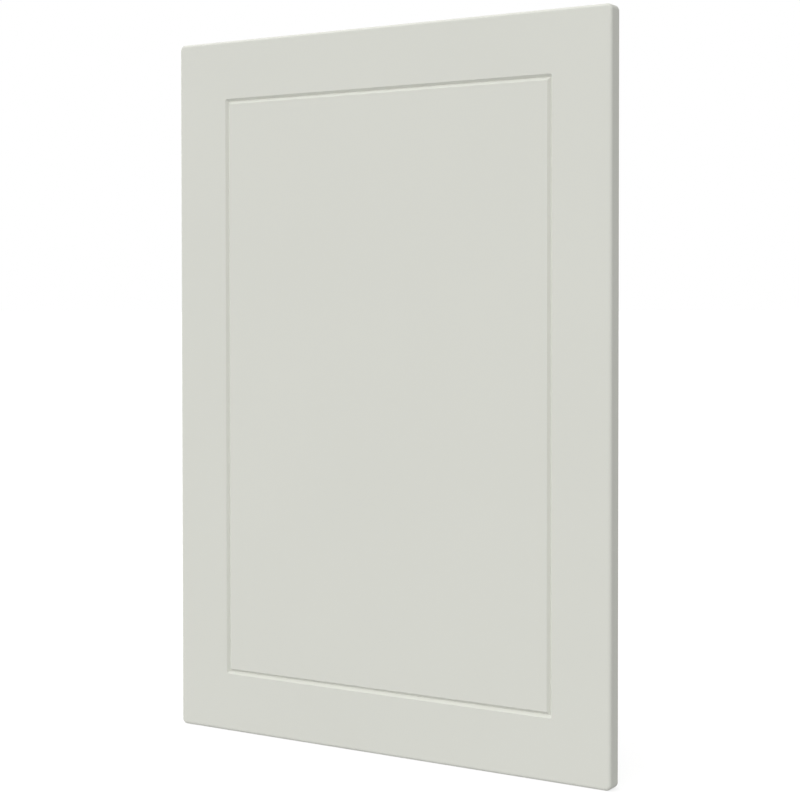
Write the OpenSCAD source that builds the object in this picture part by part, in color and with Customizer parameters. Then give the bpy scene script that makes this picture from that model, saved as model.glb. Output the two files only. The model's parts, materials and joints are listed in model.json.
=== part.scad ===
// A one-piece door for a kitchen base unit. A slab of fibreboard has all its edges rounded, and a
// V-shaped groove around its face draws a broad frame on it. The back is drilled for two cup
// hinges, each with two screw holes. There is no handle and no hole for one.
// The door stands upright. Its face looks along -Y, +X is to the right of someone who looks at
// the face and +Z is up. The origin is at the lower edge, below the middle of the slab.

/* [Slab] */
// Width, for a base unit 500 mm wide with a gap of 3 mm
door_w = 497; // [297:1:597]
// Height, for a base unit 720 mm high with a gap of 5 mm
door_h = 715; // [450:1:1200]
// Thickness of the board
door_t = 18; // [16:0.5:25]
// Radius of the long edges around the face
face_edge_r = 3; // [1:0.25:5]
// Radius of the long edges around the back
back_edge_r = 3; // [1:0.25:5]
// Radius of the four corners of the outline
corner_r = 5.5; // [5.25:0.25:12]

/* [Groove] */
// Distance from each outer edge to the bottom line of the groove
groove_inset = 62.4; // [45:0.1:90]
// Depth of the groove
groove_depth = 2.75; // [1.5:0.05:3.25]
// Full angle of the V-shaped bit that cuts it
groove_angle = 90; // [60:5:110]

/* [Hinge cups] */
// Diameter of a cup bore
cup_d = 35; // [26:0.5:36]
// Depth of a cup bore
cup_depth = 12.5; // [11:0.1:13.5]
// Distance from the edge on the hinge side to the centre of a cup
cup_inset = 22.5; // [20.5:0.5:24.5]
// Distance from the upper and the lower edge to the centre of the nearer cup
cup_end = 100; // [70:1:140]
// Diameter of the mark that the point of the boring bit leaves in the middle of a cup
point_d = 3; // [1:0.5:6]
// Depth of that mark, below the floor of the cup
point_depth = 1.5; // [0.5:0.1:2]

/* [Screw holes] */
// Diameter of a pilot hole
pilot_d = 3; // [2:0.1:5]
// Depth of a pilot hole
pilot_depth = 10; // [6:0.5:13]
// Distance between the two pilot holes of a hinge
pilot_spacing = 45; // [42:0.5:52]
// Distance of the pilot holes from the line of the cups, towards the middle of the door
pilot_offset = 9.5; // [5.5:0.5:11]

/* [Hidden] */
$fn = 64;
// How far a cutter stands out of the surface that it enters
clear = 1;
face_y = -door_t / 2;
back_y = door_t / 2;
// Distance from the middle of the door to the axes of the corner posts
post_x = door_w / 2 - corner_r;
// Bottom lines of the groove's four runs
groove_x = door_w / 2 - groove_inset;
groove_low = groove_inset;
groove_high = door_h - groove_inset;
// Size of the V-shaped bit where it leaves the face
bit_h = groove_depth + clear;
bit_r = bit_h * tan(groove_angle / 2);
// Places of the hinges, near the left edge of the face
cup_x = cup_inset - door_w / 2;
hinge_heights = [cup_end, door_h - cup_end];

// What rounding takes off the corner of a quadrant that lies at the origin
module corner_waste(r) {
    difference() {
        translate([-clear, -clear]) square(r + clear);
        translate([r, r]) circle(r);
    }
}

// Rectangle about the origin, its corners rounded by r_low below and by r_high above
module round_outline(w, h, r_low, r_high) {
    difference() {
        square([w, h], center = true);
        for (side = [0, 1]) mirror([side, 0]) {
            translate([-w / 2, -h / 2]) corner_waste(r_low);
            translate([-w / 2, h / 2]) mirror([0, 1]) corner_waste(r_high);
        }
    }
}

// Section of the slab across one of its sides, with the face below and the back above
module slab_section(length) {
    round_outline(length, door_t, face_edge_r, back_edge_r);
}

// A corner of the slab, turned about the axis of its rounding
module corner_post() {
    rotate([-90, 0, 0])
        rotate_extrude()
            intersection() {
                slab_section(2 * corner_r);
                translate([0, -door_t]) square([corner_r, 2 * door_t]);
            }
}

// The slab: one block from side to side, one from the lower to the upper edge and a post in each
// corner, so the rounded edges run on around the corners, as a router leaves them
module slab() {
    translate([0, 0, corner_r])
        linear_extrude(door_h - 2 * corner_r) slab_section(door_w);
    translate([post_x, 0, door_h / 2])
        rotate([0, -90, 0])
            linear_extrude(2 * post_x) slab_section(door_h);
    for (x = [-post_x, post_x], z = [corner_r, door_h - corner_r])
        translate([x, 0, z]) corner_post();
}

// One straight run of the groove along +X, from the origin on the face
module groove_run(length) {
    rotate([90, 0, 90])
        linear_extrude(length)
            polygon([[-clear, -bit_r], [-clear, bit_r], [groove_depth, 0]]);
}

// The round end that the bit leaves on the outside of a corner of the groove
module groove_corner() {
    translate([0, -clear, 0])
        rotate([-90, 0, 0])
            cylinder(h = bit_h, r1 = bit_r, r2 = 0);
}

// The whole groove: its outer corners are round and its inner corners are sharp
module groove() {
    for (z = [groove_low, groove_high]) {
        translate([-groove_x, face_y, z]) groove_run(2 * groove_x);
        for (x = [-groove_x, groove_x])
            translate([x, face_y, z]) groove_corner();
    }
    for (x = [-groove_x, groove_x])
        translate([x, face_y, groove_low])
            rotate([0, -90, 0]) groove_run(groove_high - groove_low);
}

// A blind hole in the back, at the origin, that goes in along -Y
module back_bore(diameter, depth) {
    translate([0, -depth, 0])
        rotate([-90, 0, 0])
            cylinder(h = depth + clear, d = diameter);
}

// The cup bore of one hinge with the mark of its bit, and the two screw holes beside it
module hinge_drilling() {
    back_bore(cup_d, cup_depth);
    translate([0, -cup_depth - point_depth, 0])
        rotate([-90, 0, 0])
            cylinder(h = point_depth + clear, r1 = 0, r2 = point_d / 2 * (1 + clear / point_depth));
    for (side = [-1, 1])
        translate([pilot_offset, 0, side * pilot_spacing / 2])
            back_bore(pilot_d, pilot_depth);
}

module door_panel() {
    color([0.83, 0.835, 0.805])
        difference() {
            slab();
            groove();
            for (z = hinge_heights)
                translate([cup_x, back_y, z]) hinge_drilling();
        }
}

door_panel();
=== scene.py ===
"""The looks of a one-piece kitchen cabinet door: its board, paint, light, floor and camera.

The door stands upright on the floor. Its face looks along -Y, +X is to the right of someone who
looks at the face and +Z is up. Every length is in metres.
"""
import json
import logging
import math
from collections.abc import Callable, Iterator
from dataclasses import dataclass
from enum import Enum
from itertools import pairwise, product

import bmesh
import bpy
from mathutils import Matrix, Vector


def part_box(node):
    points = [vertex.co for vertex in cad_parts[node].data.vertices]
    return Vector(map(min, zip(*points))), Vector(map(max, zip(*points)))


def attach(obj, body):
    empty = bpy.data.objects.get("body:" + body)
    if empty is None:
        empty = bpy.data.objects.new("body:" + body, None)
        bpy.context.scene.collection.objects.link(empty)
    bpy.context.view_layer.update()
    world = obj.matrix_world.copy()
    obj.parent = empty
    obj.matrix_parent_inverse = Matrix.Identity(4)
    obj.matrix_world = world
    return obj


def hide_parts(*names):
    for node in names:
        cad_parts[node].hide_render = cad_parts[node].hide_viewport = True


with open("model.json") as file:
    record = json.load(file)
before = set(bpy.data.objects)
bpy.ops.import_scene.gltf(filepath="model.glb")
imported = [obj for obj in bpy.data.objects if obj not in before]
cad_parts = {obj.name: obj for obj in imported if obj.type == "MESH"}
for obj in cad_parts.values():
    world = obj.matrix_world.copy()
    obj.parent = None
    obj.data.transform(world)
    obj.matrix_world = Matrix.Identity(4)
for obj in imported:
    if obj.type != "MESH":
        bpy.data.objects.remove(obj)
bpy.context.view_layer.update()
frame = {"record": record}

LOG = logging.getLogger("door")
Socket = bpy.types.NodeSocket
MM = 0.001
TINY = 0.01 * MM
RIGHT_ANGLE = math.pi / 2
WHITE = (1.0, 1.0, 1.0, 1.0)


class Kind(Enum):
    """The sort of mesh element that a test picks."""

    VERT = "VERT"
    EDGE = "EDGE"
    FACE = "FACE"


class Side(Enum):
    """A broad side of the door, by the sign of Y that it looks along."""

    FACE = -1
    BACK = 1


def stand_alone(piece: bpy.types.Object) -> None:
    """Deselect everything, then select one object and make it active.

    Args:
        piece: the object that the next operators act on.
    """
    bpy.ops.object.select_all(action="DESELECT")
    piece.select_set(True)
    bpy.context.view_layer.objects.active = piece


def settle(piece: bpy.types.Object) -> None:
    """Move an object's place, turn and size into its mesh."""
    stand_alone(piece)
    bpy.ops.object.transform_apply(location=True, rotation=True, scale=True)


def edit(piece: bpy.types.Object) -> None:
    """Open one object in edit mode."""
    stand_alone(piece)
    bpy.ops.object.mode_set(mode="EDIT")


def close() -> None:
    """Leave edit mode."""
    bpy.ops.object.mode_set(mode="OBJECT")


def pick(piece: bpy.types.Object, kind: Kind, test: Callable[[list[Vector]], bool]) -> None:
    """Select the points, edges or faces of the object in edit mode that pass a test.

    Args:
        piece: the object that is open in edit mode.
        kind: what to pick.
        test: says from an element's corners whether it is picked.
    """
    bpy.ops.mesh.select_mode(type=kind.value)
    bpy.ops.mesh.select_all(action="DESELECT")
    mesh = bmesh.from_edit_mesh(piece.data)
    elements = {Kind.VERT: mesh.verts, Kind.EDGE: mesh.edges, Kind.FACE: mesh.faces}[kind]
    for element in elements:
        points = [element] if kind is Kind.VERT else element.verts
        if test([point.co for point in points]):
            element.select_set(True)
    bmesh.update_edit_mesh(piece.data)


def use_modifier(piece: bpy.types.Object, name: str, kind: str, **settings: object) -> None:
    """Add a modifier, set it and apply it.

    Args:
        piece: the object that gets it.
        name: the modifier's name.
        kind: Blender's name of the sort of modifier.
        settings: the modifier's properties.
    """
    stand_alone(piece)
    modifier = piece.modifiers.new(name, kind)
    for key, value in settings.items():
        setattr(modifier, key, value)
    bpy.ops.object.modifier_apply(modifier=name)


class NodeBench:
    """Builds shader nodes in one tree.

    Each octave of a noise pattern has a set share of the one before, and the pattern seldom
    leaves the range from noise_low to noise_high.
    """

    octave_share: float = 0.55
    noise_low: float = 0.3
    noise_high: float = 0.7

    def __init__(self, tree: bpy.types.NodeTree) -> None:
        """Start in a tree."""
        self.tree = tree

    def add(self, kind: str, inputs: dict[str | int, object] | None = None,
            **settings: object) -> bpy.types.Node:
        """Add a node.

        Args:
            kind: Blender's name of the node.
            inputs: for each input, by name or number, a value or a socket to link.
            settings: the node's properties.

        Returns:
            The node.
        """
        node = self.tree.nodes.new(kind)
        for key, value in settings.items():
            setattr(node, key, value)
        for key, value in (inputs or {}).items():
            if isinstance(value, Socket):
                self.tree.links.new(value, node.inputs[key])
            else:
                node.inputs[key].default_value = value
        return node

    def maths(self, operation: str, *values: float | Socket) -> Socket:
        """Add a Math node that works on numbers or sockets, and give its result."""
        return self.add("ShaderNodeMath", dict(enumerate(values)), operation=operation).outputs[0]

    def ramp(self, value: Socket, low: float, high: float,
             to_low: float, to_high: float) -> Socket:
        """Map a value from one range to another, and hold it within the new one.

        Args:
            value: the socket to map.
            low: start of the range it comes from.
            high: end of that range.
            to_low: what low becomes.
            to_high: what high becomes.

        Returns:
            The result's socket.
        """
        inputs = {"Value": value, "From Min": low, "From Max": high,
                  "To Min": to_low, "To Max": to_high}
        return self.add("ShaderNodeMapRange", inputs).outputs["Result"]

    def noise(self, place: Socket, size: float, detail: float) -> Socket:
        """Add a noise pattern.

        Args:
            place: coordinates in metres.
            size: length of one swell of the pattern, in metres.
            detail: how many finer octaves it holds.

        Returns:
            Its value, around 0.5.
        """
        inputs = {"Vector": place, "Scale": 1 / size, "Detail": detail,
                  "Roughness": self.octave_share}
        return self.add("ShaderNodeTexNoise", inputs).outputs[0]

    def drift(self, place: Socket, size: float, detail: float, low: float, high: float) -> Socket:
        """Add a noise pattern that drifts between two values."""
        return self.ramp(self.noise(place, size, detail), self.noise_low, self.noise_high,
                         low, high)

    def blend(self, share: Socket, first: tuple[float, ...], second: tuple[float, ...]) -> Socket:
        """Mix two colours by the share of the second."""
        node = self.add("ShaderNodeMix", {0: share, 6: first, 7: second}, data_type="RGBA")
        return node.outputs[2]

    def tint(self, colour: tuple[float, ...] | Socket, tone: Socket) -> Socket:
        """Make a colour lighter or darker by a factor."""
        inputs = {0: colour, "Scale": tone}
        return self.add("ShaderNodeVectorMath", inputs, operation="SCALE").outputs[0]

    def bump(self, height: Socket) -> Socket:
        """Give the normals of a surface that is raised by a height in metres."""
        inputs = {"Height": height, "Distance": 1.0, "Strength": 1.0}
        return self.add("ShaderNodeBump", inputs).outputs[0]


def new_material(name: str) -> tuple[bpy.types.Material, NodeBench]:
    """Start a material.

    Args:
        name: the material's name.

    Returns:
        The empty material and a bench in it.
    """
    material = bpy.data.materials.new(name)
    material.use_nodes = True
    material.node_tree.nodes.clear()
    return material, NodeBench(material.node_tree)


def new_group(name: str, inputs: dict[str, str],
              outputs: dict[str, str]) -> tuple[NodeBench, bpy.types.Node, bpy.types.Node]:
    """Start a shader node group with named sockets.

    Args:
        name: the group's name.
        inputs: each input's kind of socket, by its name.
        outputs: each output's kind of socket, by its name.

    Returns:
        A bench in the group, the node that gives its inputs and the node that takes its outputs.
    """
    tree = bpy.data.node_groups.new(name, "ShaderNodeTree")
    for direction, sockets in (("INPUT", inputs), ("OUTPUT", outputs)):
        for label, kind in sockets.items():
            tree.interface.new_socket(label, in_out=direction, socket_type=kind)
    bench = NodeBench(tree)
    return bench, bench.add("NodeGroupInput"), bench.add("NodeGroupOutput")


@dataclass(frozen=True)
class Bore:
    """A round blind hole in the back of the door."""

    centre: tuple[float, float]
    radius: float
    depth: float
    steps: int
    mark_radius: float = 0.0
    mark_depth: float = 0.0


@dataclass(frozen=True)
class Groove:
    """The V-shaped groove that draws the frame, as its bit cuts it and the paint softens it."""

    inset: float = 62.4 * MM
    depth: float = 2.75 * MM
    half_angle: float = math.radians(45)
    lip_radius: float = 0.6 * MM
    root_radius: float = 0.5 * MM
    steps: int = 5

    @property
    def half_width(self) -> float:
        """Half the width of the V on the face, before its lips are softened."""
        return self.depth * math.tan(self.half_angle)

    def section(self) -> Iterator[tuple[float, float]]:
        """Points of the outer half of the section, from the face to the bottom line.

        Yields:
            The distance from the bottom line, outwards, and the depth below the face.
        """
        wall_slope = RIGHT_ANGLE - self.half_angle
        reach = self.lip_radius * math.tan(wall_slope / 2)
        for step in range(self.steps + 1):
            turn = wall_slope * step / self.steps
            yield (self.half_width + reach - self.lip_radius * math.sin(turn),
                   self.lip_radius * (1 - math.cos(turn)))
        root_centre = self.depth - self.root_radius / math.sin(self.half_angle)
        for step in range(self.steps + 1):
            turn = wall_slope * (1 - step / self.steps)
            yield (self.root_radius * math.sin(turn),
                   root_centre + self.root_radius * math.cos(turn))


@dataclass(frozen=True)
class Drilling:
    """The holes for the hinges, with the sizes that the record's mounts leave open."""

    pilot_depth: float = 10 * MM
    mark_radius: float = 1.5 * MM
    mark_depth: float = 1.5 * MM
    cup_steps: int = 64
    pilot_steps: int = 32

    def bores(self) -> list[Bore]:
        """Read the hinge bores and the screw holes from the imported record's mounts.

        Returns:
            One bore for each hole.
        """
        bores = []
        for mount in frame["record"]["mounts"]:
            x, _, z = mount["pos_m"]
            dims = mount["dims"]
            if mount["kind"] == "bore":
                bores.append(Bore((x, z), dims["r_mm"] * MM, dims["length_mm"] * MM,
                                  self.cup_steps, self.mark_radius, self.mark_depth))
            elif mount["kind"] == "bolt_pattern":
                for end in (-1, 1):
                    height = z + end * dims["spacing_y_mm"] * MM / 2
                    bores.append(Bore((x, height), dims["hole_r_mm"] * MM, self.pilot_depth,
                                      self.pilot_steps))
        return bores


@dataclass(frozen=True)
class Paint:
    """The matt paint that covers the whole board before it is drilled.

    Where a cutter shaped the board it is rougher, over raised fibres. There its colour is also a
    little lighter: painted light that fills the shade of the groove and of the rounded edges.
    """

    colour: tuple[float, float, float] = (0.658, 0.665, 0.610)
    ior: float = 1.46
    roughness: float = 0.52
    routed_roughness: float = 0.60
    routed_painted_light: float = 0.04
    routed_grain: float = 2.5
    routed_edge: float = 0.6
    tone_size: float = 180 * MM
    tone_spread: float = 0.006
    sheen_size: float = 9 * MM
    sheen_spread: float = 0.02
    peel_size: float = 2.4 * MM
    peel_height: float = 0.012 * MM
    grain_size: float = 0.35 * MM
    grain_height: float = 0.006 * MM

    def material(self, groove: Groove, size: Vector, edge_radius: float) -> bpy.types.Material:
        """Make the paint.

        Args:
            groove: where the routed groove runs.
            size: the door's width, thickness and height.
            edge_radius: how far the rounding of the edges reaches in.

        Returns:
            The material.
        """
        material, bench = new_material("door_paint")
        place = bench.add("ShaderNodeTexCoord").outputs["Object"]
        zone = self._routed_zone(groove, size, edge_radius)
        routed = bench.add("ShaderNodeGroup", {"Place": place}, node_tree=zone).outputs["Routed"]
        cloud = bench.drift(place, self.tone_size, detail=2.0,
                            low=1 - self.tone_spread, high=1 + self.tone_spread)
        # painted light: the colour is lifted where a cutter shaped the board, to fill the shade of
        # the groove and of the rounded edges
        tone = bench.maths("MULTIPLY", cloud, bench.ramp(routed, 0, 1, 1, 1 + self.routed_painted_light))
        sheen = bench.drift(place, self.sheen_size, detail=3.0,
                            low=-self.sheen_spread, high=self.sheen_spread)
        rough = bench.maths("ADD", bench.ramp(routed, 0, 1, self.roughness, self.routed_roughness),
                            sheen)
        peel = bench.maths("MULTIPLY", bench.noise(place, self.peel_size, detail=1.0),
                           self.peel_height)
        fibres = bench.maths("MULTIPLY", bench.noise(place, self.grain_size, detail=2.0),
                             self.grain_height)
        raised = bench.maths("MULTIPLY", fibres, bench.ramp(routed, 0, 1, 1, self.routed_grain))
        normal = bench.bump(bench.maths("ADD", peel, raised))
        shader = bench.add("ShaderNodeBsdfPrincipled",
                           {"Base Color": bench.tint(self.colour, tone), "Roughness": rough,
                            "Normal": normal, "IOR": self.ior})
        bench.add("ShaderNodeOutputMaterial", {"Surface": shader.outputs[0]})
        return material

    def _routed_zone(self, groove: Groove, size: Vector, edge_radius: float) -> bpy.types.NodeTree:
        """Make the group that masks what a cutter shaped: the edges and the groove.

        Args:
            groove: where the groove runs.
            size: the door's width, thickness and height.
            edge_radius: how far the rounding of the edges reaches in.

        Returns:
            The group, with the input Place and the output Routed.
        """
        bench, given, result = new_group("routed_zone", {"Place": "NodeSocketVector"},
                                         {"Routed": "NodeSocketFloat"})
        axes = bench.add("ShaderNodeSeparateXYZ", {0: given.outputs["Place"]}).outputs
        across = bench.maths("SUBTRACT", size.x / 2, bench.maths("ABSOLUTE", axes["X"]))
        from_middle = bench.maths("SUBTRACT", axes["Z"], size.z / 2)
        up = bench.maths("SUBTRACT", size.z / 2, bench.maths("ABSOLUTE", from_middle))
        inset = bench.maths("MINIMUM", across, up)
        edge = bench.ramp(inset, edge_radius, self.routed_edge * edge_radius, 0, 1)
        off_line = bench.maths("ABSOLUTE", bench.maths("SUBTRACT", inset, groove.inset))
        near = bench.ramp(off_line, groove.half_width + groove.lip_radius, groove.half_width, 0, 1)
        half_way_to_face = -size.y / 4
        cut = bench.maths("MULTIPLY", near, bench.ramp(axes["Y"], 0, half_way_to_face, 0, 1))
        bench.tree.links.new(bench.maths("MAXIMUM", edge, cut), result.inputs["Routed"])
        return bench.tree


@dataclass(frozen=True)
class BareBoard:
    """The raw fibreboard that drilling lays bare."""

    light: tuple[float, float, float, float] = (0.50, 0.36, 0.22, 1.0)
    dark: tuple[float, float, float, float] = (0.29, 0.19, 0.11, 1.0)
    contrast: tuple[float, float] = (0.35, 0.65)
    roughness: float = 0.9
    specular: float = 0.3
    fibre_size: float = 0.8 * MM
    fibre_flatness: float = 3.0
    cloud_size: float = 7 * MM
    cloud_share: float = 0.35
    ring_pitch: float = 1.1 * MM
    ring_tone: float = 0.05
    ring_height: float = 0.4
    # how dark the painted shade at the centre of the bit's pit gets
    pit_shade_tone: float = 0.6
    relief: float = 0.05 * MM

    def material(self, bores: list[Bore]) -> bpy.types.Material:
        """Make the bare board.

        Args:
            bores: the holes. The floors of the cups carry the rings that a boring bit leaves, and
                painted shade in the pit of its point.

        Returns:
            The material.
        """
        material, bench = new_material("bare_fibreboard")
        place = bench.add("ShaderNodeTexCoord").outputs["Object"]
        flat = bench.add("ShaderNodeMapping",
                         {"Vector": place, "Scale": (1, self.fibre_flatness, 1)}).outputs[0]
        fibre = bench.noise(flat, self.fibre_size, detail=4.0)
        cloud = bench.noise(place, self.cloud_size, detail=2.0)
        mottle = bench.maths("MULTIPLY_ADD", cloud, self.cloud_share,
                             bench.maths("MULTIPLY", fibre, 1 - self.cloud_share))
        board = bench.blend(bench.ramp(mottle, *self.contrast, 0, 1), self.dark, self.light)
        cups = [bore for bore in bores if bore.mark_radius]
        away = self._distance(bench, place, [cup.centre for cup in cups])
        rings = bench.maths("SINE", bench.maths("MULTIPLY", away, 2 * math.pi / self.ring_pitch))
        # painted shade: the cup floor gets darker towards the centre of the bit's pit
        pit_painted_shade = bench.ramp(away, 0, cups[0].mark_radius, self.pit_shade_tone, 1)
        tone = bench.maths("MULTIPLY", pit_painted_shade, bench.maths("MULTIPLY_ADD", rings, self.ring_tone, 1))
        uneven = bench.maths("MULTIPLY_ADD", rings, self.ring_height, fibre)
        normal = bench.bump(bench.maths("MULTIPLY", uneven, self.relief))
        shader = bench.add("ShaderNodeBsdfPrincipled",
                           {"Base Color": bench.tint(board, tone), "Roughness": self.roughness,
                            "Normal": normal, "Specular IOR Level": self.specular})
        bench.add("ShaderNodeOutputMaterial", {"Surface": shader.outputs[0]})
        return material

    @staticmethod
    def _distance(bench: NodeBench, place: Socket, centres: list[tuple[float, float]]) -> Socket:
        """Work out the distance from the nearest of some axes along Y.

        Args:
            bench: where the nodes go.
            place: coordinates in metres.
            centres: each axis as its X and Z.

        Returns:
            The distance's socket.
        """
        in_plane = bench.add("ShaderNodeVectorMath", {0: place, 1: (1, 0, 1)},
                             operation="MULTIPLY").outputs[0]
        nearest = None
        for x, z in centres:
            away = bench.add("ShaderNodeVectorMath", {0: in_plane, 1: (x, 0, z)},
                             operation="DISTANCE").outputs["Value"]
            nearest = bench.maths("MINIMUM", nearest, away) if nearest else away
        return nearest


@dataclass
class DoorPanel:
    """The door: one board, rounded at its edges, grooved in its face and drilled from behind.

    A hem is the flat strip beside the round edges, and a rim is the bevel around a hole.
    """

    low: Vector
    high: Vector
    groove: Groove = Groove()
    drilling: Drilling = Drilling()
    paint: Paint = Paint()
    bare_board: BareBoard = BareBoard()
    edge_radius: float = 3 * MM
    edge_steps: int = 12
    corner_radius: float = 5.5 * MM
    corner_steps: int = 16
    hem: float = 0.5 * MM
    groove_end_steps: int = 16
    rim: float = 0.15 * MM
    smooth_below: float = math.radians(40)

    @property
    def size(self) -> Vector:
        """Width, thickness and height."""
        return self.high - self.low

    @property
    def middle(self) -> Vector:
        """The centre of the door's box."""
        return (self.low + self.high) / 2

    def build(self) -> bpy.types.Object:
        """Model the whole door and dress it.

        Returns:
            The finished piece.
        """
        bores = self.drilling.bores()
        paint = self.paint.material(self.groove, self.size, self.edge_radius)
        bare = self.bare_board.material(bores)
        door = self._slab()
        door.data.materials.append(paint)
        parts = [self._groove_strip()]
        parts[0].data.materials.append(paint)
        for bore in bores:
            parts.append(self._bored_hole(bore))
            parts[-1].data.materials.append(bare)
        self._join(door, parts)
        for side in Side:
            self._close_side(door, side)
        self._finish(door)
        door.name = door.data.name = "painted_door"
        return door

    def _slab(self) -> bpy.types.Object:
        """Model the board with round edges, open where its face and its back will be.

        A narrow flat hem stays beside the round edges, so that the broad sides shade evenly.

        Returns:
            The board.
        """
        bpy.ops.mesh.primitive_cube_add(size=1.0, location=self.middle, scale=self.size)
        slab = bpy.context.object
        settle(slab)
        edit(slab)
        pick(slab, Kind.EDGE, lambda ends: abs(ends[0].y - ends[1].y) > TINY)
        bpy.ops.mesh.bevel(offset=self.corner_radius, segments=self.corner_steps, profile=0.5,
                           affect="EDGES")
        pick(slab, Kind.EDGE, lambda ends: abs(ends[0].y - ends[1].y) < TINY)
        bpy.ops.mesh.bevel(offset=self.edge_radius, segments=self.edge_steps, profile=0.5,
                           affect="EDGES")
        for side in Side:
            plane = self._plane_of(side)
            pick(slab, Kind.FACE, lambda corners: all(abs(c.y - plane) < TINY for c in corners))
            bpy.ops.mesh.inset(thickness=self.hem)
            bpy.ops.mesh.delete(type="FACE")
        close()
        return slab

    def _plane_of(self, side: Side) -> float:
        """Give the Y of a broad side."""
        return self.low.y if side is Side.FACE else self.high.y

    def _groove_strip(self) -> bpy.types.Object:
        """Model the groove, with the panel that it surrounds, by insets that follow its section.

        The strip starts as a plane with round corners. Each inset goes one step down the section,
        and the corners' arcs shrink with it until they meet in the bottom line's corners. The
        same steps in the other order then lead up to the panel, with sharp corners.

        Returns:
            The strip.
        """
        section = list(self.groove.section())
        lip = section[0][0]
        reach = 2 * (lip - self.groove.inset)
        bpy.ops.mesh.primitive_plane_add(size=1.0,
                                         location=(self.middle.x, self.low.y, self.middle.z),
                                         rotation=(RIGHT_ANGLE, 0, 0))
        strip = bpy.context.object
        strip.scale = (self.size.x + reach, self.size.z + reach, 1)
        settle(strip)
        edit(strip)
        bpy.ops.mesh.select_all(action="SELECT")
        bpy.ops.mesh.bevel(offset=lip, segments=self.groove_end_steps, profile=0.5,
                           affect="VERTICES")
        bpy.ops.mesh.select_all(action="SELECT")
        bpy.ops.mesh.select_mode(type="FACE")
        for (outer, upper), (inner, lower) in pairwise(section):
            bpy.ops.mesh.inset(thickness=outer - inner, depth=upper - lower)
        self._gather_corners(strip, self.low.y + section[-1][1])
        for (outer, upper), (inner, lower) in reversed(list(pairwise(section))):
            bpy.ops.mesh.inset(thickness=outer - inner, depth=lower - upper)
        close()
        return strip

    def _gather_corners(self, strip: bpy.types.Object, bottom: float) -> None:
        """Merge what is left of each round corner in the corner of the bottom line.

        The last step down to that line is less than TINY, so a finer measure finds its points.

        Args:
            strip: the groove's strip, open in edit mode. It is left with its panel selected.
            bottom: the Y of the bottom line.
        """
        reach_x = self.size.x / 2 - self.groove.inset
        reach_z = self.size.z / 2 - self.groove.inset
        finer = TINY / 5
        for side, end in product((-1, 1), repeat=2):
            corner = Vector((self.middle.x + side * reach_x, bottom, self.middle.z + end * reach_z))
            pick(strip, Kind.VERT, lambda points: abs(points[0].y - bottom) < finer
                 and (points[0] - corner).length < self.groove.root_radius)
            bpy.context.scene.cursor.location = corner
            bpy.ops.mesh.merge(type="CURSOR")
        pick(strip, Kind.FACE, lambda corners: all(abs(c.y - bottom) < finer for c in corners))

    def _bored_hole(self, bore: Bore) -> bpy.types.Object:
        """Model the wall and the floor of a blind hole, with the mark of its bit.

        Args:
            bore: the hole.

        Returns:
            The open hole.
        """
        x, z = bore.centre
        bpy.ops.mesh.primitive_circle_add(vertices=bore.steps, radius=bore.radius + self.rim,
                                          fill_type="NGON", location=(x, self.high.y, z),
                                          rotation=(-RIGHT_ANGLE, 0, 0))
        hole = bpy.context.object
        settle(hole)
        edit(hole)
        bpy.ops.mesh.select_all(action="SELECT")
        bpy.ops.mesh.select_mode(type="FACE")
        bpy.ops.mesh.inset(thickness=self.rim, depth=-self.rim)
        self._sink(bore.depth - self.rim)
        if bore.mark_radius:
            bpy.ops.mesh.inset(thickness=bore.radius - bore.mark_radius, depth=0)
            self._sink(bore.mark_depth)
            bpy.ops.mesh.merge(type="CENTER")
        close()
        return hole

    @staticmethod
    def _sink(depth: float) -> None:
        """Extrude the selected face into the board from behind."""
        bpy.ops.mesh.extrude_region_move(TRANSFORM_OT_translate={"value": (0, -depth, 0)})

    @staticmethod
    def _join(door: bpy.types.Object, parts: list[bpy.types.Object]) -> None:
        """Make the parts one mesh with the board.

        Args:
            door: the board, which takes them in.
            parts: the groove's strip and the holes.
        """
        stand_alone(door)
        for part in parts:
            part.select_set(True)
        bpy.ops.object.join()

    def _close_side(self, door: bpy.types.Object, side: Side) -> None:
        """Fill a broad side between the board's rim and what is cut into it.

        Args:
            door: the joined mesh.
            side: the side to fill.
        """
        plane = self._plane_of(side)
        edit(door)
        mesh = bmesh.from_edit_mesh(door.data)
        open_ends = {frozenset(tuple(v.co) for v in e.verts) for e in mesh.edges if e.is_boundary}
        pick(door, Kind.EDGE,
             lambda ends: all(abs(end.y - plane) < TINY for end in ends)
             and frozenset(tuple(end) for end in ends) in open_ends)
        bpy.ops.mesh.fill(use_beauty=True)
        close()

    def _finish(self, door: bpy.types.Object) -> None:
        """Turn all faces outwards, paint the flat sides and give the round ones smooth normals.

        Args:
            door: the closed mesh.
        """
        edit(door)
        bpy.ops.mesh.select_all(action="SELECT")
        bpy.ops.mesh.normals_make_consistent(inside=False)
        close()
        for face in door.data.polygons:
            buried = min(face.center.y - self.low.y, self.high.y - face.center.y)
            if abs(face.normal.y) > 1 - TINY and buried < TINY:
                face.material_index = 0
        stand_alone(door)
        bpy.ops.object.shade_smooth_by_angle(angle=self.smooth_below)
        use_modifier(door, "even_normals", "WEIGHTED_NORMAL", keep_sharp=True, weight=100)


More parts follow.
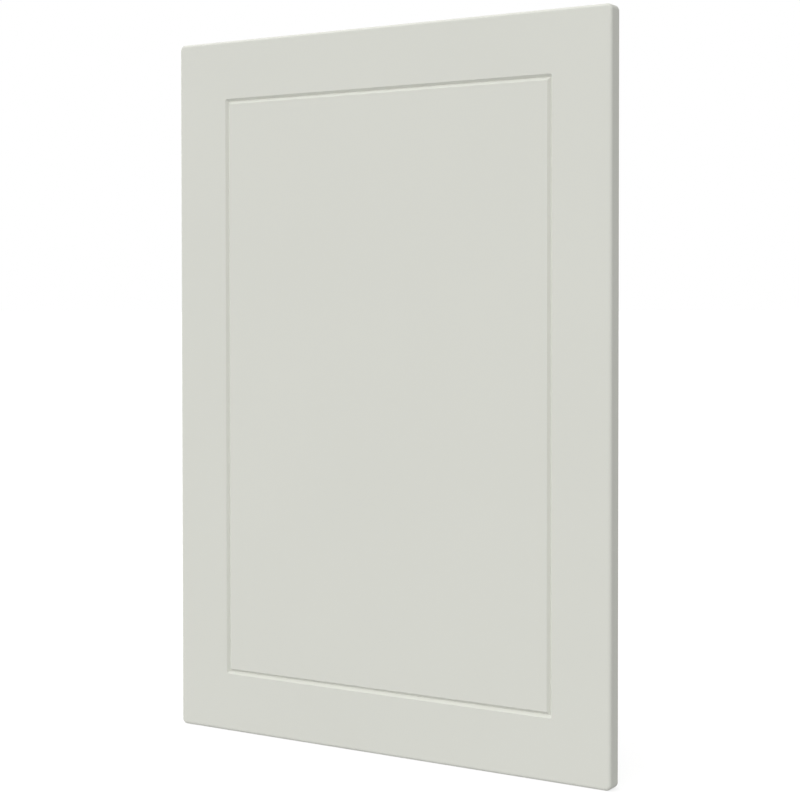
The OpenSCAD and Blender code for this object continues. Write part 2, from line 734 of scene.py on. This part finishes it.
@dataclass(frozen=True)
class Studio:
    """A plain pale floor in a soft room, which is brightest in front of the door, to its left.

    A weaker light from behind, also from the left, shows the back.
    """

    room_level: float = 1.03
    room_slope: float = 0.935
    bright_side: tuple[float, float, float] = (-0.512, -0.859, 0.0)
    rear_level: float = 3.0
    rear_falloff: float = 3.0
    rear_side: float = -0.25
    backdrop_level: float = 1.0
    floor_reach: float = 400.0
    floor_light: float = 0.40
    floor_shade: float = 0.35
    floor_white: float = 0.70

    def build(self) -> None:
        """Make the world and the floor."""
        self._world()
        self._floor()

    @staticmethod
    def _is_shown(bench: NodeBench) -> Socket:
        """Tell the rays that show the background, straight, mirrored or through glass.

        Args:
            bench: where the nodes go.

        Returns:
            A socket that is 1 for such rays.
        """
        path = bench.add("ShaderNodeLightPath").outputs
        seen = bench.maths("MAXIMUM", path["Is Camera Ray"], path["Is Glossy Ray"])
        return bench.maths("MAXIMUM", seen, path["Is Transmission Ray"])

    def _world(self) -> None:
        """Light the room softly from its bright side and from behind, and show it white."""
        world = bpy.data.worlds.new("soft_room")
        bpy.context.scene.world = world
        world.use_nodes = True
        world.node_tree.nodes.clear()
        bench = NodeBench(world.node_tree)
        way = bench.add("ShaderNodeTexCoord").outputs["Generated"]
        facing = bench.add("ShaderNodeVectorMath", {0: way, 1: self.bright_side},
                           operation="DOT_PRODUCT").outputs["Value"]
        front = bench.maths("MULTIPLY_ADD", facing, self.room_slope, self.room_level)
        axes = bench.add("ShaderNodeSeparateXYZ", {0: way}).outputs
        behind = bench.maths("POWER", bench.ramp(axes["Y"], 0, 1, 0, 1), self.rear_falloff)
        rear = bench.maths("MULTIPLY", behind, bench.ramp(axes["X"], 0, self.rear_side, 0, 1))
        room = bench.maths("MULTIPLY_ADD", rear, self.rear_level, front)
        level = bench.ramp(self._is_shown(bench), 0, 1, room, self.backdrop_level)
        light = bench.add("ShaderNodeBackground", {"Color": WHITE, "Strength": level})
        bench.add("ShaderNodeOutputWorld", {"Surface": light.outputs[0]})

    def _floor(self) -> None:
        """Lay the floor, which shows white, keeps the door's shadow and lights it from below."""
        bpy.ops.mesh.primitive_plane_add(size=self.floor_reach, location=(0, 0, 0))
        floor = bpy.context.object
        floor.name = "studio_floor"
        material, bench = new_material("pale_floor")
        light = bench.add("ShaderNodeEmission", {"Color": WHITE, "Strength": self.floor_light})
        shade = bench.add("ShaderNodeBsdfDiffuse", {"Color": (self.floor_shade,) * 3 + (1,)})
        base = bench.add("ShaderNodeEmission", {"Color": WHITE, "Strength": self.floor_white})
        shown = bench.add("ShaderNodeAddShader", {0: shade.outputs[0], 1: base.outputs[0]})
        mixed = bench.add("ShaderNodeMixShader", {0: self._is_shown(bench), 1: light.outputs[0],
                                                  2: shown.outputs[0]})
        bench.add("ShaderNodeOutputMaterial", {"Surface": mixed.outputs[0]})
        floor.data.materials.append(material)


@dataclass(frozen=True)
class Viewpoint:
    """The camera, to the right of the door and a little above its middle."""

    place: tuple[float, float, float] = (0.9179, -1.4464, 0.0862)
    turn: float = math.radians(31.887)
    dip: float = math.radians(1.187)
    roll: float = math.radians(0.038)
    focal_px: float = 1742.5
    centre_px: float = 340.0
    picture_px: float = 800.0
    sensor_mm: float = 36.0
    sight: float = 100.0

    def build(self, middle: Vector) -> None:
        """Set the camera up and make it the scene's own.

        Args:
            middle: the centre of the door, from which the camera's place is measured.
        """
        data = bpy.data.cameras.new("camera")
        data.sensor_width = self.sensor_mm
        data.lens = self.focal_px / self.picture_px * self.sensor_mm
        data.shift_y = (self.centre_px - self.picture_px / 2) / self.picture_px
        data.clip_end = self.sight
        camera = bpy.data.objects.new("camera", data)
        bpy.context.scene.collection.objects.link(camera)
        camera.location = middle + Vector(self.place)
        camera.rotation_euler = (RIGHT_ANGLE - self.dip, self.roll, self.turn)
        bpy.context.scene.camera = camera


def main() -> None:
    """Build the door, the light and the camera."""
    logging.basicConfig(level=logging.INFO, format="%(name)s: %(message)s")
    bpy.context.scene.view_settings.view_transform = "Standard"
    panel = DoorPanel(*(Vector(corner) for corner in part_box("door_panel")))
    Viewpoint().build(panel.middle)
    Studio().build()
    door = panel.build()
    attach(door, "root")
    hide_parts("door_panel")
    LOG.info("%s: %d faces", door.name, len(door.data.polygons))


if __name__ == "__main__":
    main()
